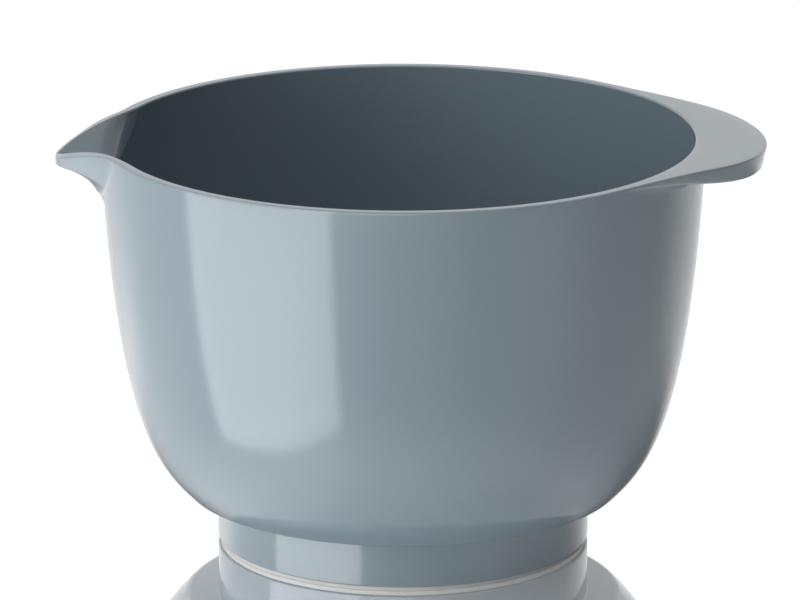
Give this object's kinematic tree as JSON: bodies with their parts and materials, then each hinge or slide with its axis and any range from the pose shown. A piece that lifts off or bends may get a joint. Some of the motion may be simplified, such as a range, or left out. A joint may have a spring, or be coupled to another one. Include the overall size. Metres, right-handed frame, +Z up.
{
  "type": "batter bowl",
  "caption": "Deep moulded mixing bowl with a dipped pouring spout, a broad handle lip opposite it, a hollow foot and a soft non-slip ring that pulls out of the foot.",
  "frame": {"origin": "on the bowl's axis, at the underside of the non-slip ring, which is the table's level", "axes": "+Z up along the bowl's axis, +X towards the handle lip, -X towards the spout, Y across"},
  "size_m": [0.2582, 0.22, 0.152],
  "materials": {
    "melamine": "smooth glossy moulded melamine, grey-blue",
    "ring_rubber": "smooth matt off-white rubber"
  },
  "bodies": {
    "bowl": {"bowl_body": "melamine"},
    "ring": {"non_slip_ring": "ring_rubber"}
  },
  "joints": [
    {"name": "ring_pull", "type": "slide", "parent": "bowl", "child": "ring", "axis": [0, 0, -1], "range_m": [0, 0.012]}
  ]
}
